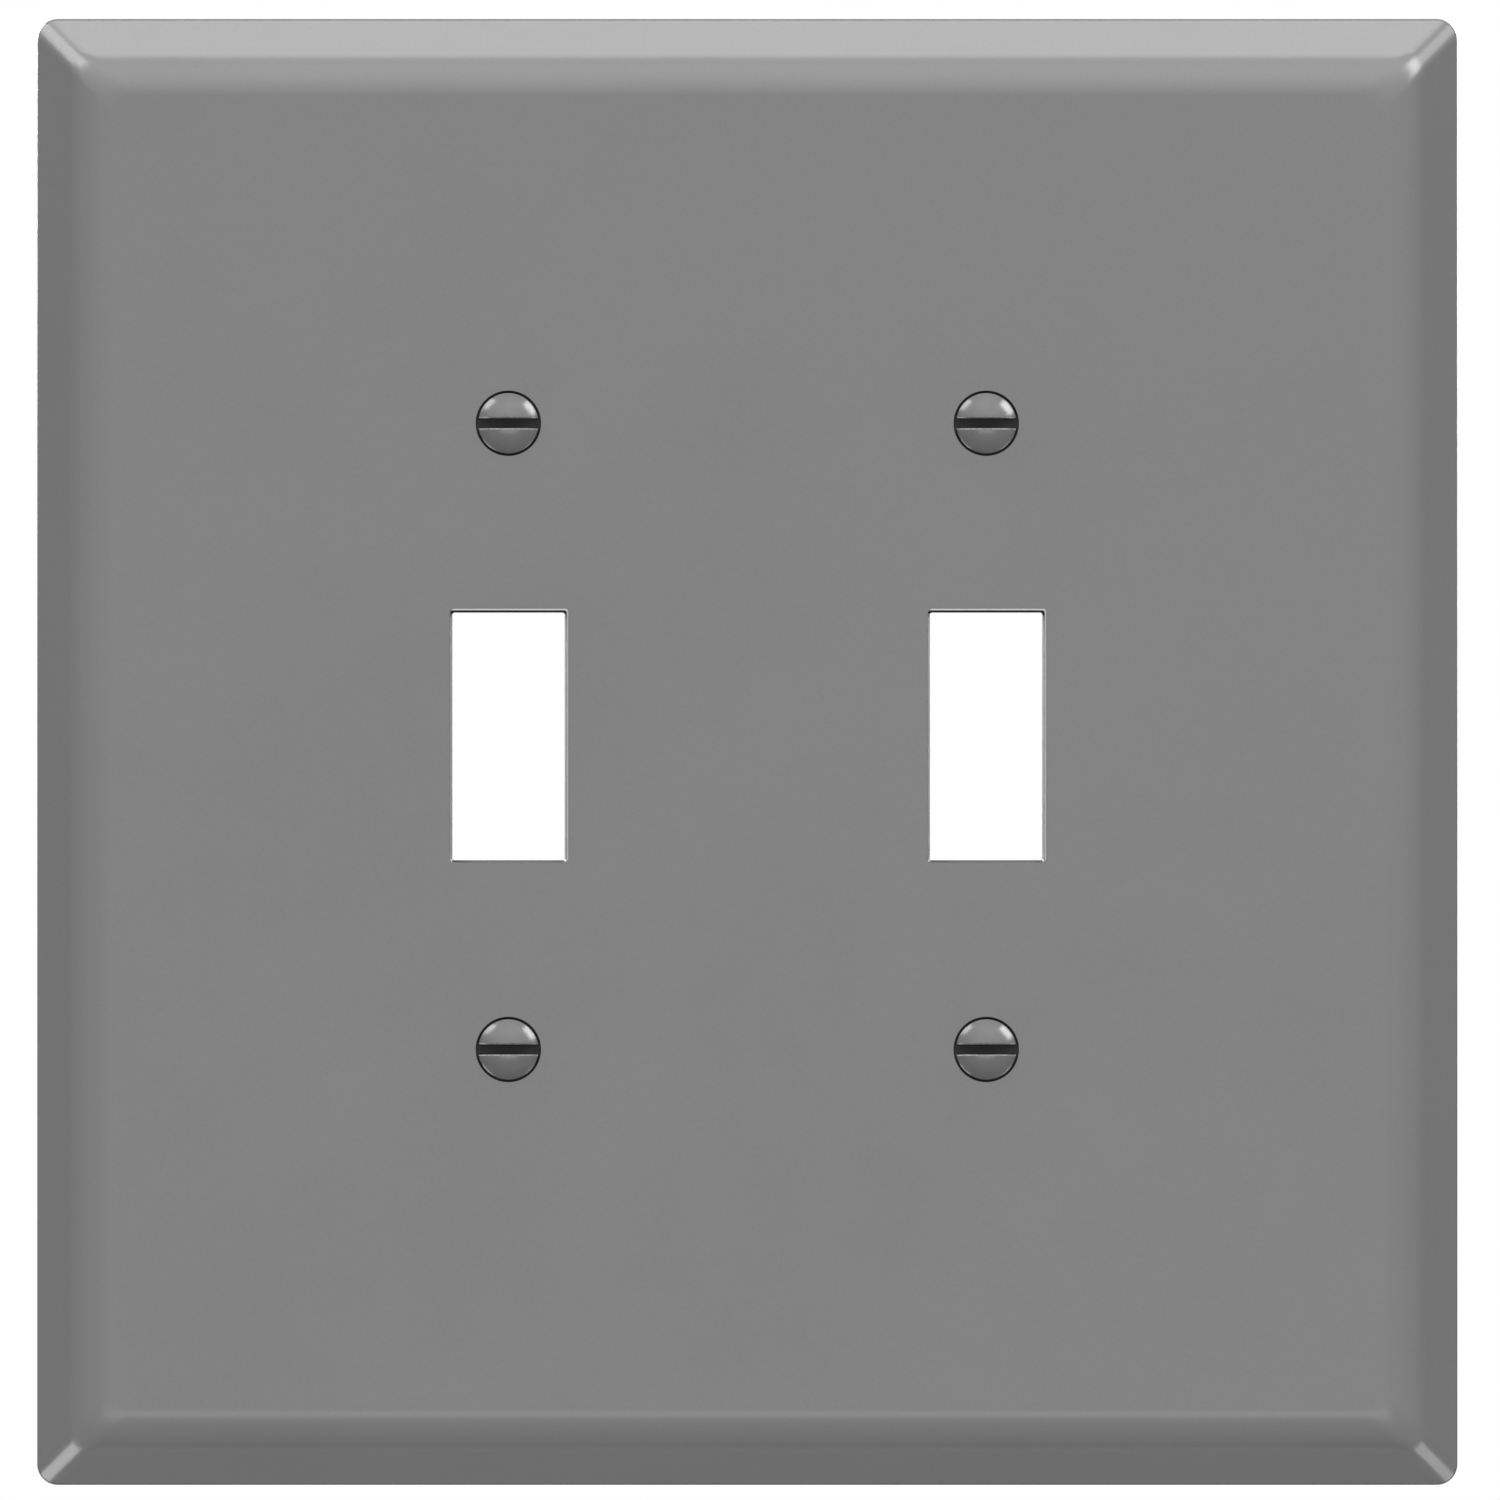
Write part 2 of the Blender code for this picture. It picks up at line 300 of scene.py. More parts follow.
def enamelled_head():
    """Glossy grey enamel with a slight sag in its film, rubbed to the zinc along the slot's lips."""
    material, tree, shader, coordinates = new_finish("grey_enamel")
    film = noise(tree, coordinates, scale=900.0)
    film = between(tree, film, ENAMEL_GREY * 0.95, ENAMEL_GREY * 1.05)
    rubbed = add(tree, "ShaderNodeAttribute", attribute_name="bare_edge").outputs["Fac"]
    patches = noise(tree, coordinates, scale=2600.0, detail=3.0)
    patches = between(tree, patches, *BARE_SHARE, start=0.42, end=0.6)
    bare = maths(tree, "MULTIPLY", rubbed, patches)
    colour = add(tree, "ShaderNodeMix", {"Factor": bare, 6: grey(tree, film), 7: ZINC}, data_type="RGBA")
    tree.links.new(colour.outputs[2], shader.inputs["Base Color"])
    tree.links.new(bare, shader.inputs["Metallic"])
    gloss = between(tree, noise(tree, coordinates, scale=1500.0, detail=3.0), *ENAMEL_ROUGHNESS)
    tree.links.new(gloss, shader.inputs["Roughness"])
    relief(tree, shader, noise(tree, coordinates, scale=1900.0), 0.004 * MM)
    shader.inputs["IOR"].default_value = ENAMEL_IOR
    return material


def painted_shade_slot():
    """Enamel in the slot painted near black as painted shade, with the saw's and the driver's marks along
    it.
    """
    material, tree, shader, coordinates = new_finish("dark_slot")
    stretch = add(tree, "ShaderNodeMapping", {"Vector": coordinates, "Scale": (0.12, 1.0, 1.0)})
    marks = noise(tree, stretch.outputs[0], scale=9000.0)
    tree.links.new(grey(tree, between(tree, marks, *SLOT_SHADE_GREY)), shader.inputs["Base Color"])
    tree.links.new(between(tree, marks, *SLOT_ROUGHNESS), shader.inputs["Roughness"])
    relief(tree, shader, marks, 0.004 * MM)
    shader.inputs["Specular IOR Level"].default_value = SLOT_SHINE
    return material


def zinc_plate():
    """Bright zinc on a rolled thread: cloudy, a little dull, with fine marks from the rolling dies."""
    material, tree, shader, coordinates = new_finish("zinc_plated_steel")
    clouds = between(tree, noise(tree, coordinates, scale=1100.0, detail=3.0), *ZINC_GREY)
    tree.links.new(grey(tree, clouds), shader.inputs["Base Color"])
    dullness = between(tree, noise(tree, coordinates, scale=2500.0), *ZINC_ROUGHNESS)
    tree.links.new(dullness, shader.inputs["Roughness"])
    relief(tree, shader, noise(tree, coordinates, scale=7000.0), 0.002 * MM)
    shader.inputs["Metallic"].default_value = 1.0
    return material


enamel_finish = enamelled_head()
slot_shade_finish = painted_shade_slot()
zinc_finish = zinc_plate()
print("finishes:", sorted(material.name for material in bpy.data.materials))

# %% [markdown]
# ## The plate
#
# The plate, its hollow, the toggle openings and the collars and ribs behind are all the same kind of
# shape: a rectangle with rounded corners that shrinks or grows as it rises. They could be modelled one by
# one, or scaled copies could be bridged by hand. A rule is better: this tree lays a grid, uses its rows
# to step through a drawn section (how far in, how high) and its columns to walk round the rectangle, and
# moves each point to its place. One tree then makes every one of them, and a changed size stays changed
# everywhere.

# %% The node tree for a rounded tray
TRAY_MERGE = 0.0002 * MM


def tray_tree():
    """Lofts a section round a rectangle with rounded corners. The two ends stay open."""
    inputs = {"Section": "Object", "Width": "Float", "Height": "Float", "Corner Radius": "Float"}
    inputs.update({"Corner Steps": "Int", "Middle": "Vector", "Finish": "Material"})
    tree, sizes = new_tree("rounded_tray", inputs)
    section = add(tree, "GeometryNodeObjectInfo", {"Object": sizes["Section"]}).outputs["Geometry"]
    rows = add(tree, "GeometryNodeAttributeDomainSize", {"Geometry": section}).outputs["Point Count"]
    per_corner = maths(tree, "ADD", sizes["Corner Steps"], 1.0)
    columns = maths(tree, "MULTIPLY_ADD", per_corner, 4.0, 1.0)
    shape = {"Size X": 1.0, "Size Y": 1.0, "Vertices X": rows, "Vertices Y": columns}
    grid = add(tree, "GeometryNodeMeshGrid", shape).outputs["Mesh"]
    position = tree.nodes.new("GeometryNodeInputPosition").outputs[0]
    cell = add(tree, "ShaderNodeSeparateXYZ", {0: position}).outputs
    last_row = maths(tree, "SUBTRACT", rows, 1.0)
    last_column = maths(tree, "SUBTRACT", columns, 1.0)
    row = maths(tree, "MULTIPLY", maths(tree, "ADD", cell["X"], 0.5), last_row)
    column = maths(tree, "MULTIPLY", maths(tree, "ADD", cell["Y"], 0.5), last_column)
    column = maths(tree, "ROUND", column)
    point = {"Geometry": section, "Value": position, "Index": maths(tree, "ROUND", row)}
    drawn = add(tree, "GeometryNodeSampleIndex", point, data_type="FLOAT_VECTOR")
    drawn = add(tree, "ShaderNodeSeparateXYZ", {0: drawn.outputs["Value"]}).outputs
    corner = maths(tree, "FLOOR", maths(tree, "DIVIDE", column, per_corner))
    step = maths(tree, "SUBTRACT", column, maths(tree, "MULTIPLY", corner, per_corner))
    angle = maths(tree, "ADD", corner, maths(tree, "DIVIDE", step, sizes["Corner Steps"]))
    angle = maths(tree, "MULTIPLY", angle, math.pi / 2)
    diagonal = maths(tree, "MULTIPLY", maths(tree, "ADD", corner, 0.5), math.pi / 2)
    radius = sizes["Corner Radius"]

    def along(size, wave):
        """Where a point lies along the rectangle's width or height."""
        reach = maths(tree, "MULTIPLY_ADD", size, 0.5, maths(tree, "MULTIPLY", drawn["X"], -1.0))
        reach = maths(tree, "SUBTRACT", reach, radius)
        side = maths(tree, "SIGN", maths(tree, wave, diagonal))
        turned = maths(tree, "MULTIPLY", radius, maths(tree, wave, angle))
        return maths(tree, "MULTIPLY_ADD", side, reach, turned)

    spot = {"X": along(sizes["Width"], "COSINE"), "Z": along(sizes["Height"], "SINE")}
    spot["Y"] = maths(tree, "MULTIPLY", drawn["Y"], -1.0)
    spot = add(tree, "ShaderNodeCombineXYZ", spot).outputs[0]
    spot = add(tree, "ShaderNodeVectorMath", {0: spot, 1: sizes["Middle"]}, operation="ADD").outputs[0]
    moved = add(tree, "GeometryNodeSetPosition", {"Geometry": grid, "Position": spot})
    joined = {"Geometry": moved.outputs[0], "Distance": TRAY_MERGE}
    joined = add(tree, "GeometryNodeMergeByDistance", joined).outputs[0]
    finish_tree(tree, joined, sizes["Finish"])
    return tree


TRAY_TREE = tray_tree()


def tray(name, width, height, section, radius, middle, finish, steps=8):
    """A closed solid lofted from (inset, height above the wall) points round a rounded rectangle."""
    line = bpy.data.meshes.new(name + "_section")
    line.from_pydata([(inset, level, 0.0) for inset, level in section], [], [])
    drawing = new_object(name + "_section", line)
    values = {"Section": drawing, "Width": width, "Height": height, "Corner Radius": radius}
    values.update({"Corner Steps": steps, "Middle": middle, "Finish": finish})
    obj = run_tree(name, TRAY_TREE, values)
    bpy.data.objects.remove(drawing)
    edit(obj, close_ends)
    return obj


# %% [markdown]
# The section of the plate's edge runs from the wall, up a short straight rim, along the bevel, and rolls
# over to the flat front with a generous shoulder. The rim and the foot of the bevel get the small radius
# that a polished mould leaves.

# %% The plate's outer skin
RIM_LIP = 1.2 * MM
RIM_EDGE = 0.2 * MM
LIP_RADIUS = 0.7 * MM
SHOULDER_RADIUS = 6.0 * MM
FOOT_INSET = 0.5 * MM
CORNER_RADIUS = 2.0 * MM
bevel_run = (PLATE_DEPTH - RIM_LIP) / math.tan(BEVEL_SLOPE)
outer_section = rounded_path(
    (FOOT_INSET, 0.0),
    (0.0, 0.0, RIM_EDGE, 5),
    (0.0, RIM_LIP, LIP_RADIUS, 8),
    (bevel_run, PLATE_DEPTH, SHOULDER_RADIUS, 28),
    (bevel_run + SHOULDER_RADIUS, PLATE_DEPTH),
)
middle = (0.0, 0.0, PLATE_MIDDLE)
plate = tray(
    "moulded_wall_plate", PLATE_WIDTH, PLATE_HEIGHT, outer_section, CORNER_RADIUS, middle, face_finish, 16
)
print("outer skin:", len(plate.data.polygons), "faces")

# %% [markdown]
# Bosses round the screw holes, a countersink and the screws are round, so they are turned: a profile of
# (radius, height) points is spun about the axis. Here the height is measured out of the plate's face.

# %% Turned shapes
TURNED_MERGE = 0.0005 * MM


def turned(name, profile, steps, finish=None):
    """A closed solid spun about Z from (radius, height) points that start and end on the axis."""
    mesh = bpy.data.meshes.new(name)
    mesh.from_pydata([(radius, 0.0, height) for radius, height in profile], [], [])
    builder = bmesh.new()
    builder.from_mesh(mesh)
    builder.verts.ensure_lookup_table()
    line = [builder.edges.new(pair) for pair in zip(builder.verts[:-1], builder.verts[1:])]
    spun = line + list(builder.verts)
    bmesh.ops.spin(builder, geom=spun, axis=(0, 0, 1), cent=(0, 0, 0), angle=2 * math.pi, steps=steps)
    bmesh.ops.remove_doubles(builder, verts=builder.verts, dist=TURNED_MERGE)
    bmesh.ops.recalc_face_normals(builder, faces=builder.faces)
    builder.to_mesh(mesh)
    builder.free()
    if finish:
        mesh.materials.append(finish)
    return new_object(name, mesh)


def seat(obj, place):
    """Turns a mesh from Z up to facing out of the wall, and sets it on a screw's axis."""
    for vertex in obj.data.vertices:
        x, y, z = vertex.co
        vertex.co = (place.x + x, place.y - z, place.z + y)
    return obj


# %% [markdown]
# Behind the front wall stand the bosses that the screws draw against the switches, the collars round the
# toggle openings, and two ribs that stiffen the wall. Each leans in by a degree and a half, so that it can
# leave the mould, and swells into the wall at its root. A root is drawn to start a little inside the wall
# (SINK), so that it runs into it instead of lying on it. The thread is number 6: 0.138 inch across.

# %% What stands behind the face
MM_PER_INCH = 25.4
THREAD_RADIUS = 0.138 * MM_PER_INCH * MM / 2
HOLE_CLEARANCE = 0.3 * MM
HOLE_RADIUS = THREAD_RADIUS + HOLE_CLEARANCE
OPENING_WIDTH = 11.2 * MM
OPENING_HEIGHT = 24.25 * MM
BOSS_WALL = 2.2 * MM
BOSS_HEIGHT = 2.2 * MM
COLLAR_WALL = 1.1 * MM
COLLAR_HEIGHT = 1.6 * MM
COLLAR_CORNER = 1.2 * MM
RIB_WIDTH = 1.2 * MM
RIB_HEIGHT = 1.2 * MM
RIB_CORNER = 0.15 * MM
ROOT = 0.4 * MM
SINK = 0.02 * MM
TOP_EDGE = 0.2 * MM
DRAFT = math.tan(math.radians(1.5))


def standing_section(height):
    """The section of a collar or a rib, from inside the wall to its rounded top."""
    top = INNER_FACE - height
    return rounded_path(
        (-ROOT, INNER_FACE + OVERRUN),
        (-ROOT, INNER_FACE + SINK),
        (0.0, INNER_FACE, ROOT * 0.9, 5),
        (height * DRAFT, top, TOP_EDGE, 4),
        (height * DRAFT + TOP_EDGE * 1.5, top),
    )


def boss_profile():
    """The profile of a screw boss, from inside the wall to its rounded end."""
    radius = HOLE_RADIUS + BOSS_WALL
    end = -(WALL + BOSS_HEIGHT)
    return rounded_path(
        (0.0, OVERRUN - WALL),
        (radius + ROOT, OVERRUN - WALL),
        (radius + ROOT, SINK - WALL),
        (radius, -WALL, ROOT * 0.9, 5),
        (radius - BOSS_HEIGHT * DRAFT, end, TOP_EDGE, 4),
        (0.0, end),
    )


standing = []
for x in GANG_COLUMNS:
    width = OPENING_WIDTH + 2 * COLLAR_WALL
    height = OPENING_HEIGHT + 2 * COLLAR_WALL
    collar = standing_section(COLLAR_HEIGHT)
    rib = standing_section(RIB_HEIGHT)
    standing.append(tray("collar", width, height, collar, COLLAR_CORNER, (x, 0.0, 0.0), back_finish))
    rib_middle = (x, 0.0, PLATE_MIDDLE)
    standing.append(tray("rib", RIB_WIDTH, PLATE_HEIGHT, rib, RIB_CORNER, rib_middle, back_finish, 3))
for place in SCREW_PLACES.values():
    standing.append(seat(turned("boss", boss_profile(), 64, back_finish), place))
print(len(standing), "shapes stand behind the face")

# %% [markdown]
# A plate is thrown out of its mould by a dozen round pins, and each leaves a shallow round print in the
# back. They repeat on a grid, so a small tree makes them all: points on a grid, and a disc on each.

# %% The prints of the ejector pins
def pin_tree():
    """Discs on a grid of points that faces out of the wall."""
    inputs = {"Columns": "Int", "Rows": "Int", "Width": "Float", "Height": "Float"}
    inputs.update({"Pin Radius": "Float", "Depth": "Float", "Middle": "Vector", "Finish": "Material"})
    tree, sizes = new_tree("ejector_pins", inputs)
    shape = {"Size X": sizes["Width"], "Size Y": sizes["Height"]}
    shape.update({"Vertices X": sizes["Columns"], "Vertices Y": sizes["Rows"]})
    grid = add(tree, "GeometryNodeMeshGrid", shape).outputs["Mesh"]
    pin = {"Vertices": 40, "Radius": sizes["Pin Radius"], "Depth": sizes["Depth"]}
    pin = add(tree, "GeometryNodeMeshCylinder", pin).outputs["Mesh"]
    pins = add(tree, "GeometryNodeInstanceOnPoints", {"Points": grid, "Instance": pin}).outputs[0]
    upright = {"Geometry": pins, "Translation": sizes["Middle"], "Rotation": (math.pi / 2, 0.0, 0.0)}
    upright = add(tree, "GeometryNodeTransform", upright).outputs[0]
    finish_tree(tree, upright, sizes["Finish"])
    return tree


PIN_PRINT = 0.12 * MM
PIN_RADIUS = 2.0 * MM
PIN_SPAN_X = 92.0 * MM
PIN_SPAN_Z = 108.0 * MM
pin_values = {"Columns": 3, "Rows": 4, "Width": PIN_SPAN_X, "Height": PIN_SPAN_Z, "Pin Radius": PIN_RADIUS}
pin_values.update({"Depth": 2 * PIN_PRINT, "Middle": (0.0, -INNER_FACE, PLATE_MIDDLE)})
pin_values["Finish"] = back_finish
pin_prints = run_tree("pin_prints", pin_tree(), pin_values)
print("pin prints:", len(pin_prints.data.polygons), "faces")

# %% [markdown]
# The hollow follows the outside at the distance of one wall. What stands in it is taken out of it before
# it is taken out of the plate, so the bosses, collars and ribs are left behind in one piece with the
# wall. Boolean modifiers do this. The cut faces keep the cutter's finish, which is how the back turns
# matt.

# %% The hollow
HOLLOW_CORNER = 1.0 * MM
HOLLOW_BEND = 0.3 * MM
hollow_lip = RIM_LIP - WALL * (1 - math.sin(BEVEL_SLOPE)) / math.cos(BEVEL_SLOPE)
hollow_run = (INNER_FACE - hollow_lip) / math.tan(BEVEL_SLOPE)
hollow_section = rounded_path(
    (-RIM_EDGE, -OVERRUN),
    (-RIM_EDGE, -HAIR),
    (0.0, 0.0, RIM_EDGE * 0.9, 4),
    (0.0, hollow_lip, HOLLOW_BEND, 4),
    (hollow_run, INNER_FACE, SHOULDER_RADIUS - WALL, 16),
    (hollow_run + SHOULDER_RADIUS, INNER_FACE),
)
hollow = tray(
    "hollow",
    PLATE_WIDTH - 2 * WALL,
    PLATE_HEIGHT - 2 * WALL,
    hollow_section,
    HOLLOW_CORNER,
    middle,
    back_finish,
)


def cut(obj, tools, operation="DIFFERENCE"):
    """Takes the tools out of an object, or joins them to it. Their faces keep their own finish."""
    held = bpy.data.collections.new(obj.name + "_tools")
    for tool in tools:
        held.objects.link(tool)
    modifier = obj.modifiers.new("cut", "BOOLEAN")
    modifier.operation = operation
    modifier.solver = "EXACT"
    modifier.material_mode = "TRANSFER"
    modifier.operand_type = "COLLECTION"
    modifier.collection = held
    settle(obj)
    for tool in tools:
        bpy.data.objects.remove(tool)
    bpy.data.collections.remove(held)


cut(hollow, standing)
print("hollow:", len(hollow.data.polygons), "faces")

# %% [markdown]
# The toggle openings lean in towards the back, as the front half of the mould needs, so a thin line of
# their walls shows from the front, and their front edge is just broken. Where two parts of the mould meet
# they leave a faint raised edge, a burr, and here it stands along the top and the right of each opening.
# It is a low block with sloping sides, joined to the face before the opening is cut through it. The block
# stands a little up and to the right of the opening, so only those two of its sides are left. OVERLAP
# keeps its other two well inside the opening. The countersinks hold the heads.

# %% Openings and countersinks
OPENING_EDGE = 0.03 * MM
OPENING_CORNER = 0.22 * MM
BURR_WIDTH = 0.16 * MM
BURR_HEIGHT = 0.12 * MM
BURR_EDGE = 0.05 * MM
OVERLAP = 0.1 * MM
OPENING_DRAFT = 0.2 * MM
HEAD_RADIUS = (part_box("upper_left_screw")[1].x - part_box("upper_left_screw")[0].x) / 2
HEAD_LAND = 0.05 * MM
CONE_SLOPE = math.tan(math.radians(41.0))
SEAT_CLEARANCE = 0.17 * MM
SEAT_EDGE = 0.05 * MM
SEAT_LIFT = 0.003 * MM
RECESS_DEPTH = 0.6 * MM


def opening_section():
    """From behind the collar to in front of the face."""
    collar_end = INNER_FACE - COLLAR_HEIGHT
    return rounded_path(
        (OPENING_DRAFT - TOP_EDGE, -OVERRUN),
        (OPENING_DRAFT - TOP_EDGE, collar_end - HAIR),
        (OPENING_DRAFT, collar_end, TOP_EDGE * 0.9, 4),
        (0.0, PLATE_DEPTH - OPENING_EDGE),
        (-OPENING_EDGE, PLATE_DEPTH),
        (-OPENING_EDGE, PLATE_DEPTH + OVERRUN),
    )


def burr_section():
    """From inside the face, up the raised edge's sloping side, to its top."""
    return rounded_path(
        (0.0, PLATE_DEPTH - BURR_WIDTH),
        (0.0, PLATE_DEPTH),
        (BURR_WIDTH, PLATE_DEPTH + BURR_HEIGHT, BURR_EDGE, 3),
        (3 * BURR_WIDTH, PLATE_DEPTH + BURR_HEIGHT),
    )


def countersink_profile():
    """From in front of the face, down the recess, the cone and the clearance hole, to behind the boss."""
    mouth = HEAD_RADIUS + HEAD_LAND * CONE_SLOPE + SEAT_CLEARANCE
    end = -(WALL + BOSS_HEIGHT)
    return rounded_path(
        (0.0, OVERRUN),
        (mouth + SEAT_EDGE, OVERRUN),
        (mouth + SEAT_EDGE, SEAT_LIFT),
        (mouth, 0.0, SEAT_EDGE, 4),
        (mouth, -RECESS_DEPTH, SEAT_EDGE, 2),
        (mouth - RECESS_DEPTH * CONE_SLOPE, -RECESS_DEPTH),
        (HOLE_RADIUS, -(mouth - HOLE_RADIUS) / CONE_SLOPE),
        (HOLE_RADIUS, end, TOP_EDGE * 0.9, 4),
        (HOLE_RADIUS + TOP_EDGE, end - HAIR),
        (HOLE_RADIUS + TOP_EDGE, end - OVERRUN),
        (0.0, end - OVERRUN),
    )


# The burrs carry a paler painted highlight, the openings' walls a darker painted shade, and the
# countersinks a near-black painted shade.
cutters = [hollow, pin_prints]
burrs = []
for x in GANG_COLUMNS:
    size = (OPENING_WIDTH + BURR_WIDTH - OVERLAP, OPENING_HEIGHT + BURR_WIDTH - OVERLAP)
    spot = (x + (BURR_WIDTH + OVERLAP) / 2, 0.0, (BURR_WIDTH + OVERLAP) / 2)
    burrs.append(tray("burr", *size, burr_section(), OPENING_CORNER, spot, burr_highlight_finish))
    size = (OPENING_WIDTH, OPENING_HEIGHT)
    spot = (x, 0.0, 0.0)
    cutters.append(tray("opening", *size, opening_section(), OPENING_CORNER, spot, wall_shade_finish))
for place in SCREW_PLACES.values():
    cutters.append(seat(turned("countersink", countersink_profile(), 96, seat_shade_finish), place))
cut(plate, burrs, "UNION")
cut(plate, cutters)
print("plate:", len(plate.data.polygons), "faces")

# %% [markdown]
# A moulded face must shade as truly flat, and its shoulder as truly round. Edges that turn more than 30
# degrees stay crisp, the rest is smooth, and the Weighted Normal modifier lets the large faces decide.

# %% Smooth shading for a machined or moulded piece
CRISP_TURN = math.radians(30.0)


def shade(obj):
    """Crisp where it turns sharply, smooth elsewhere, flat on its large faces."""
    obj.data.shade_smooth()
    obj.data.set_sharp_from_angle(angle=CRISP_TURN)
    weighted = obj.modifiers.new("weighted", "WEIGHTED_NORMAL")
    weighted.keep_sharp = True
    settle(obj)
    obj.hide_render = False


def open_edges(obj):
    """How many edges don't join exactly two faces: none, on a closed piece."""
    builder = bmesh.new()
    builder.from_mesh(obj.data)
    count = sum(len(edge.link_faces) != 2 for edge in builder.edges)
    builder.free()
    return count


shade(plate)
print("plate:", len(plate.data.polygons), "faces,", open_edges(plate), "open edges")

# %% [markdown]
# ## The screws
#
# An oval-head machine screw has a low dome above an 82 degree cone. The head is turned, then a slot is
# sawn across it. A Bevel on the slot's lips would trip over the small faces that a cut leaves in a dome,
# so the blade itself is shaped: its section opens into a small bevel that follows the dome's height.

# %% The slotted head
DOME_HEIGHT = 0.95 * MM
SLOT_WIDTH = 0.95 * MM
SLOT_DEPTH = 1.35 * MM
NECK_RADIUS = 1.45 * MM
NECK_LENGTH = 0.5 * MM
LIP = 0.18 * MM
LIP_CHAMFER = 0.12 * MM
LIP_EDGE = 0.03 * MM
LIP_LIFT = 0.004 * MM
SLOT_FILLET = 0.08 * MM
HEAD_EDGE = 0.04 * MM
NECK_FILLET = 0.2 * MM
DOME_STEPS = 16
BLADE_STEPS = 40
DOME_RADIUS = (HEAD_RADIUS**2 + DOME_HEIGHT**2) / (2 * DOME_HEIGHT)
cone_end = -(HEAD_RADIUS - NECK_RADIUS) / CONE_SLOPE - HEAD_LAND


def head_profile():
    """The dome, its crisp rim, the cone and the start of the neck."""
    rim_angle = math.asin(HEAD_RADIUS / DOME_RADIUS)
    dome = []
    for step in range(DOME_STEPS):
        turn = rim_angle * step / DOME_STEPS
        dome.append((DOME_RADIUS * math.sin(turn), DOME_HEIGHT - DOME_RADIUS * (1 - math.cos(turn))))
    return rounded_path(
        *dome,
        (HEAD_RADIUS, 0.0, HEAD_EDGE, 3),
        (HEAD_RADIUS, -HEAD_LAND),
        (NECK_RADIUS, cone_end, NECK_FILLET, 4),
        (NECK_RADIUS, cone_end - NECK_LENGTH),
        (0.0, cone_end - NECK_LENGTH),
    )


def dome_level(x, y):
    """How high the dome stands at a place on the head, and the rim's level outside it."""
    squared = DOME_RADIUS**2 - x * x - y * y
    return max(math.sqrt(max(squared, 0.0)) - DOME_RADIUS + DOME_HEIGHT, 0.0)


def blade_section(x):
    """The slot across one place along its length: a flat floor, two walls, and bevelled lips."""
    wall = SLOT_WIDTH / 2
    outside = wall + LIP
    floor = DOME_HEIGHT - SLOT_DEPTH
    half = (
        (outside, DOME_HEIGHT + OVERRUN),
        (outside, dome_level(x, outside) + LIP_LIFT),
        (wall + LIP_CHAMFER, dome_level(x, wall + LIP_CHAMFER), LIP_EDGE, 3),
        (wall, dome_level(x, wall) - LIP_CHAMFER, LIP_EDGE, 3),
        (wall, floor, SLOT_FILLET, 3),
    )
    other = [(-corner[0], *corner[1:]) for corner in reversed(half)]
    return rounded_path(*half, *other)


def blade():
    """A saw blade's path as a closed solid along X, lofted through its sections."""
    reach = 1.2 * HEAD_RADIUS
    stations = [reach * (2 * step / BLADE_STEPS - 1) for step in range(BLADE_STEPS + 1)]
    builder = bmesh.new()
    rings = [[builder.verts.new((x, *point)) for point in blade_section(x)] for x in stations]
    for near, far in zip(rings, rings[1:]):
        for a, b, c, d in zip(near, near[1:] + near[:1], far[1:] + far[:1], far):
            builder.faces.new((a, b, c, d))
    builder.faces.new(rings[0])
    builder.faces.new(rings[-1])
    bmesh.ops.recalc_face_normals(builder, faces=builder.faces)
    mesh = bpy.data.meshes.new("blade")
    builder.to_mesh(mesh)
    builder.free()
    return new_object("blade", mesh)


head = turned("head", head_profile(), 72)
cut(head, [blade()])
print("head:", len(head.data.polygons), "faces,", open_edges(head), "open edges")

# %% [markdown]
# The thread has 32 turns to the inch. It is a 60 degree vee with a flat crest and a flat root that climbs
# one pitch for each turn. It follows a rule, so a tree makes it. Each column of a grid is one pitch of
# the profile, the columns climb the helix, and what would run past either end is held at the end, where
# the thread fades out. The last row of one turn lands on the first row of the next, and merging closes
# them.

# %% The node tree for a rolled thread
CREST_FLAT = 0.125
ROOT_FLAT = 0.25
THREAD_MERGE = 0.0005 * MM


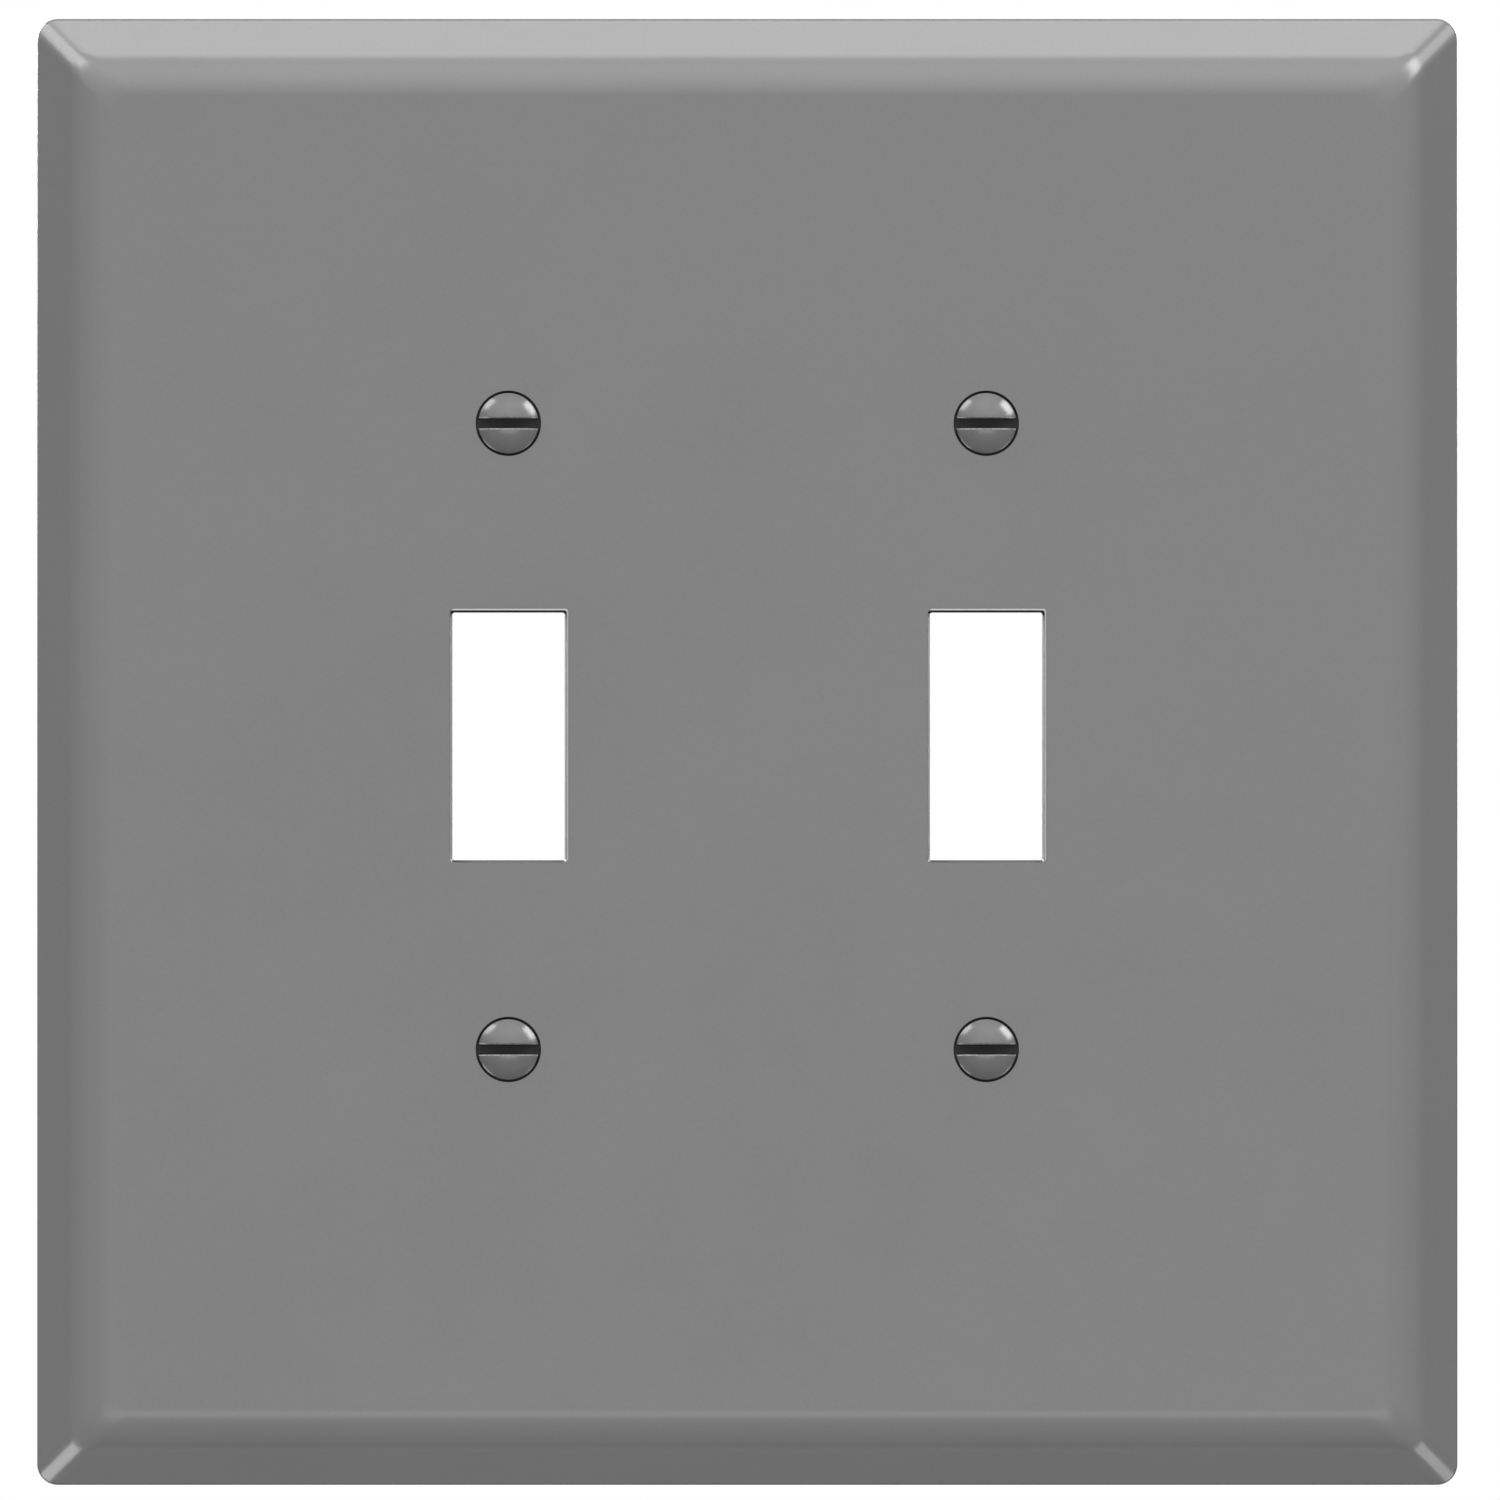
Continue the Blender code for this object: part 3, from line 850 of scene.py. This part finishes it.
def thread_tree():
    """A right-hand thread down Z, from Top to Tip, with both ends open."""
    inputs = {"Major Radius": "Float", "Core Radius": "Float", "Pitch": "Float", "Top": "Float"}
    inputs.update({"Tip": "Float", "Fade": "Float", "Turn Steps": "Int", "Pitch Steps": "Int"})
    tree, sizes = new_tree("rolled_thread", {**inputs, "Finish": "Material"})
    length = maths(tree, "SUBTRACT", sizes["Top"], sizes["Tip"])
    turns = maths(tree, "ADD", maths(tree, "CEIL", maths(tree, "DIVIDE", length, sizes["Pitch"])), 1.0)
    columns = maths(tree, "MULTIPLY_ADD", turns, sizes["Turn Steps"], 1.0)
    rows = maths(tree, "ADD", sizes["Pitch Steps"], 1.0)
    shape = {"Size X": 1.0, "Size Y": 1.0, "Vertices X": columns, "Vertices Y": rows}
    grid = add(tree, "GeometryNodeMeshGrid", shape).outputs["Mesh"]
    position = tree.nodes.new("GeometryNodeInputPosition").outputs[0]
    cell = add(tree, "ShaderNodeSeparateXYZ", {0: position}).outputs
    turn = maths(tree, "MULTIPLY", maths(tree, "ADD", cell["X"], 0.5), turns)
    share = maths(tree, "ADD", cell["Y"], 0.5)
    below = maths(tree, "SUBTRACT", maths(tree, "ADD", turn, share), 1.0)
    below = maths(tree, "MULTIPLY", below, sizes["Pitch"])
    below = maths(tree, "MINIMUM", maths(tree, "MAXIMUM", below, 0.0), length)
    wave = maths(tree, "ABSOLUTE", maths(tree, "MULTIPLY_ADD", share, 2.0, -1.0))
    vee = between(tree, wave, 0.0, 1.0, start=1 - ROOT_FLAT, end=CREST_FLAT)
    to_tip = maths(tree, "SUBTRACT", length, below)
    fade = maths(tree, "DIVIDE", maths(tree, "MINIMUM", below, to_tip), sizes["Fade"])
    fade = maths(tree, "MINIMUM", fade, 1.0)
    depth = maths(tree, "SUBTRACT", sizes["Major Radius"], sizes["Core Radius"])
    depth = maths(tree, "MULTIPLY", maths(tree, "MULTIPLY", vee, fade), depth)
    radius = maths(tree, "ADD", sizes["Core Radius"], depth)
    angle = maths(tree, "MULTIPLY", turn, -2 * math.pi)
    spot = {"X": maths(tree, "MULTIPLY", radius, maths(tree, "COSINE", angle))}
    spot["Y"] = maths(tree, "MULTIPLY", radius, maths(tree, "SINE", angle))
    spot["Z"] = maths(tree, "SUBTRACT", sizes["Top"], below)
    spot = add(tree, "ShaderNodeCombineXYZ", spot).outputs[0]
    moved = add(tree, "GeometryNodeSetPosition", {"Geometry": grid, "Position": spot})
    joined = {"Geometry": moved.outputs[0], "Distance": THREAD_MERGE}
    joined = add(tree, "GeometryNodeMergeByDistance", joined).outputs[0]
    finish_tree(tree, joined, sizes["Finish"])
    return tree


PITCH = MM_PER_INCH * MM / 32
SCREW_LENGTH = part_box("upper_left_screw")[1].y + PLATE_DEPTH
THREAD_DEPTH = 0.5413 * PITCH
THREAD_FADE = 0.7 * MM
thread_values = {"Major Radius": THREAD_RADIUS, "Core Radius": THREAD_RADIUS - THREAD_DEPTH, "Pitch": PITCH}
thread_values.update({"Top": cone_end - NECK_LENGTH / 2, "Tip": -SCREW_LENGTH, "Fade": THREAD_FADE})
thread_values.update({"Turn Steps": 40, "Pitch Steps": 16, "Finish": zinc_finish})
thread = run_tree("thread", thread_tree(), thread_values)
edit(thread, close_ends)
print("thread:", len(thread.data.polygons), "faces,", open_edges(thread), "open edges")

# %% Join the head and the thread
weld = head.modifiers.new("weld", "BOOLEAN")
weld.operation = "UNION"
weld.solver = "MANIFOLD"
weld.object = thread
settle(head)
bpy.data.objects.remove(thread)
head.name = "machine_screw"
print("screw:", len(head.data.polygons), "faces,", open_edges(head), "open edges")

# %% [markdown]
# All four screws are the same, and each rides on its own body, so one small tree is run four times. It
# sets the screw on its axis, writes where the driver has rubbed the enamel off, and gives each part its
# finish: zinc below the head, enamel on it, and the slot's near-black painted shade between its walls.

# %% The node tree that seats a screw
WALL_TOLERANCE = 0.002 * MM


def seating_tree():
    """Sets a screw, modelled up Z, on an axis that faces out of the wall, and finishes it."""
    inputs = {"Screw": "Object", "Place": "Vector", "Slot Width": "Float", "Slot Floor": "Float"}
    inputs.update({"Lip": "Float", "Neck": "Float"})
    inputs.update({"Enamel": "Material", "Slot": "Material", "Zinc": "Material"})
    tree, sizes = new_tree("seated_screw", inputs)
    screw = add(tree, "GeometryNodeObjectInfo", {"Object": sizes["Screw"]}).outputs["Geometry"]
    turned_out = {"Geometry": screw, "Translation": sizes["Place"], "Rotation": (math.pi / 2, 0.0, 0.0)}
    turned_out = add(tree, "GeometryNodeTransform", turned_out).outputs[0]
    real = add(tree, "GeometryNodeRealizeInstances", {"Geometry": turned_out}).outputs[0]
    position = tree.nodes.new("GeometryNodeInputPosition").outputs[0]
    local = add(tree, "ShaderNodeVectorMath", {0: position, 1: sizes["Place"]}, operation="SUBTRACT")
    local = add(tree, "ShaderNodeSeparateXYZ", {0: local.outputs[0]}).outputs
    across = maths(tree, "ABSOLUTE", local["Z"])
    height = maths(tree, "MULTIPLY", local["Y"], -1.0)
    past_wall = maths(tree, "SUBTRACT", across, maths(tree, "MULTIPLY", sizes["Slot Width"], 0.5))
    rubbed = maths(tree, "SUBTRACT", 1.0, maths(tree, "DIVIDE", past_wall, sizes["Lip"]))
    above_rim = maths(tree, "GREATER_THAN", height, 0.0)
    rubbed = maths(tree, "MULTIPLY", maths(tree, "MAXIMUM", rubbed, 0.0), above_rim)
    kept = {"Geometry": real, "Name": "bare_edge", "Value": rubbed}
    kept = add(tree, "GeometryNodeStoreNamedAttribute", kept, data_type="FLOAT", domain="POINT").outputs[0]
    in_slot = maths(tree, "LESS_THAN", past_wall, WALL_TOLERANCE)
    in_slot = maths(tree, "MULTIPLY", in_slot, maths(tree, "GREATER_THAN", height, sizes["Slot Floor"]))
    on_head = maths(tree, "GREATER_THAN", height, sizes["Neck"])
    for material, chosen in (("Zinc", 1.0), ("Enamel", on_head), ("Slot", in_slot)):
        feeds = {"Geometry": kept, "Material": sizes[material]}
        finish = add(tree, "GeometryNodeSetMaterial", feeds)
        if chosen != 1.0:
            tree.links.new(chosen, finish.inputs["Selection"])
        kept = finish.outputs[0]
    add(tree, "NodeGroupOutput", {"Geometry": kept})
    return tree


seating = seating_tree()
seat_values = {"Screw": head, "Slot Width": SLOT_WIDTH, "Slot Floor": DOME_HEIGHT - SLOT_DEPTH - HAIR}
seat_values.update({"Lip": LIP, "Neck": cone_end, "Enamel": enamel_finish})
seat_values.update({"Slot": slot_shade_finish, "Zinc": zinc_finish})
screws = {}
for body, place in SCREW_PLACES.items():
    seat_values["Place"] = place
    screws[body] = run_tree(body.replace("screw", "oval_head_screw"), seating, seat_values)
    shade(screws[body])
bpy.data.objects.remove(head)
for screw in screws.values():
    print(screw.name, len(screw.data.polygons), "faces,", open_edges(screw), "open edges")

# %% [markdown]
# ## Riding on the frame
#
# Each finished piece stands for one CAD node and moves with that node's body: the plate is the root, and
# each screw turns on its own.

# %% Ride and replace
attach(plate, "plate")
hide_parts("wall_plate")
for body, screw in screws.items():
    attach(screw, body)
    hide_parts(body)

# %% [markdown]
# ## The studio
#
# The plate is lit as a catalogue lights it. The world glows in front, and more strongly above, which
# gives the flat face its even tone. A wide light hangs overhead and makes the top bevel bright. Two
# windows, upper right and upper left, put the highlights on the domes, and one light at each corner draws
# the corner's bevels. A low card and a low window lift the bottom, and two lights behind the plate show
# its back. The background is white for the camera only, so it doesn't wash the bevels out. The floor
# throws no light back and casts no shadow.

# %% The floor
FLOOR_LEVEL = -0.5
FLOOR_REACH = 6.0
FLOOR_GREY = (0.8, 0.8, 0.8, 1.0)
FLOOR_ROUGHNESS = 0.9
floor_signs = ((-1, -1), (1, -1), (1, 1), (-1, 1))
floor_corners = [(x * FLOOR_REACH, y * FLOOR_REACH, FLOOR_LEVEL) for x, y in floor_signs]
floor_mesh = bpy.data.meshes.new("floor")
floor_mesh.from_pydata(floor_corners, [], [(0, 1, 2, 3)])
floor = bpy.data.objects.new("floor", floor_mesh)
bpy.context.scene.collection.objects.link(floor)
floor_material = bpy.data.materials.new("pale_floor")
floor_material.use_nodes = True
floor_shader = floor_material.node_tree.nodes["Principled BSDF"]
floor_shader.inputs["Base Color"].default_value = FLOOR_GREY
floor_shader.inputs["Roughness"].default_value = FLOOR_ROUGHNESS
floor_mesh.materials.append(floor_material)
floor.visible_diffuse = False
floor.visible_glossy = False
floor.visible_shadow = False
print("floor at", FLOOR_LEVEL, "m")

# %% The world
FRONT_GLOW = 0.86
UPPER_GLOW = 3.0


def studio_world():
    """White for the camera. For the rest, it glows in front, and more strongly in front and above."""
    world = bpy.data.worlds.new("studio")
    world.use_nodes = True
    tree = world.node_tree
    tree.nodes.clear()
    direction = tree.nodes.new("ShaderNodeTexCoord").outputs["Generated"]
    direction = add(tree, "ShaderNodeSeparateXYZ", {0: direction}).outputs
    front = maths(tree, "MAXIMUM", maths(tree, "MULTIPLY", direction["Y"], -1.0), 0.0)
    above = maths(tree, "MAXIMUM", direction["Z"], 0.0)
    glow = maths(tree, "MULTIPLY", front, maths(tree, "MULTIPLY_ADD", above, UPPER_GLOW, FRONT_GLOW))
    seen = tree.nodes.new("ShaderNodeLightPath").outputs["Is Camera Ray"]
    tone = add(tree, "ShaderNodeMix", {"Factor": seen, 2: glow, 3: 1.0}, data_type="FLOAT").outputs[0]
    background = add(tree, "ShaderNodeBackground", {"Color": grey(tree, tone), "Strength": 1.0})
    add(tree, "ShaderNodeOutputWorld", {"Surface": background.outputs[0]})
    return world


bpy.context.scene.world = studio_world()
bpy.context.scene.view_settings.view_transform = "Standard"
print("world:", bpy.context.scene.world.name)

# %% Lights
FACE = Vector((0.0, -PLATE_DEPTH, PLATE_MIDDLE))


def soft_light(name, azimuth, off_axis, distance, width, height, power):
    """A rectangular light, as wide as this along its azimuth, which runs anticlockwise from the right."""
    data = bpy.data.lights.new(name, "AREA")
    data.shape = "RECTANGLE"
    data.size = width
    data.size_y = height
    data.energy = power
    light = bpy.data.objects.new(name, data)
    bpy.context.scene.collection.objects.link(light)
    a, o = math.radians(azimuth), math.radians(off_axis)
    out = Vector((math.cos(a) * math.sin(o), -math.cos(o), math.sin(a) * math.sin(o)))
    light.location = FACE + out * distance
    light.rotation_mode = "QUATERNION"
    along = Vector((-math.sin(a), 0.0, math.cos(a)))
    light.rotation_quaternion = Matrix((along, out.cross(along), out)).transposed().to_quaternion()
    light.visible_camera = False


LIGHTS = (
    # name, azimuth, off axis, distance, width, height, power
    ("overhead", 90.0, 92.0, 0.9, 1.0, 0.38, 4.45),
    ("upper_right_window", 38.0, 64.0, 1.0, 0.5, 0.32, 4.8),
    ("upper_left_window", 134.0, 66.0, 1.0, 0.4, 0.2, 1.7),
    ("low_card", 270.0, 15.0, 1.5, 1.0, 0.25, 1.5),
    ("low_window", 270.0, 92.0, 1.0, 1.0, 0.35, 0.6),
    ("upper_right_corner", 38.0, 88.0, 1.0, 0.4, 0.4, 1.8),
    ("upper_left_corner", 138.0, 88.0, 1.0, 0.5, 0.5, 4.3),
    ("lower_left_corner", 226.0, 90.0, 1.0, 0.5, 0.5, 5.0),
    ("lower_right_corner", 314.0, 90.0, 1.0, 0.45, 0.45, 3.2),
    ("back_left", 150.0, 142.0, 1.0, 0.4, 0.4, 12.0),
    ("back_right", 30.0, 150.0, 1.0, 0.4, 0.4, 5.0),
)
for settings in LIGHTS:
    soft_light(*settings)
print(len(LIGHTS), "lights")

# %% [markdown]
# The camera looks square at the face from four metres away through a very long lens, so the view has
# hardly any perspective. It aims a little to the right of the plate's middle and a little above it.

# %% The camera
LENS = 1000.0
SENSOR = 36.0
VIEW_WIDTH = 144.5 * MM
AIM_RIGHT = 0.26 * MM
AIM_UP = 0.19 * MM
FARTHEST = 20.0
AIM = Vector((AIM_RIGHT, -PLATE_DEPTH, PLATE_MIDDLE + AIM_UP))
camera_data = bpy.data.cameras.new("camera")
camera_data.lens = LENS
camera_data.sensor_width = SENSOR
camera_data.clip_end = FARTHEST
camera = bpy.data.objects.new("camera", camera_data)
bpy.context.scene.collection.objects.link(camera)
camera.location = AIM + Vector((0.0, -VIEW_WIDTH * LENS / SENSOR, 0.0))
camera.rotation_euler = (math.pi / 2, 0.0, 0.0)
bpy.context.scene.camera = camera
print("camera at", round(camera.location.y, 2), "m")
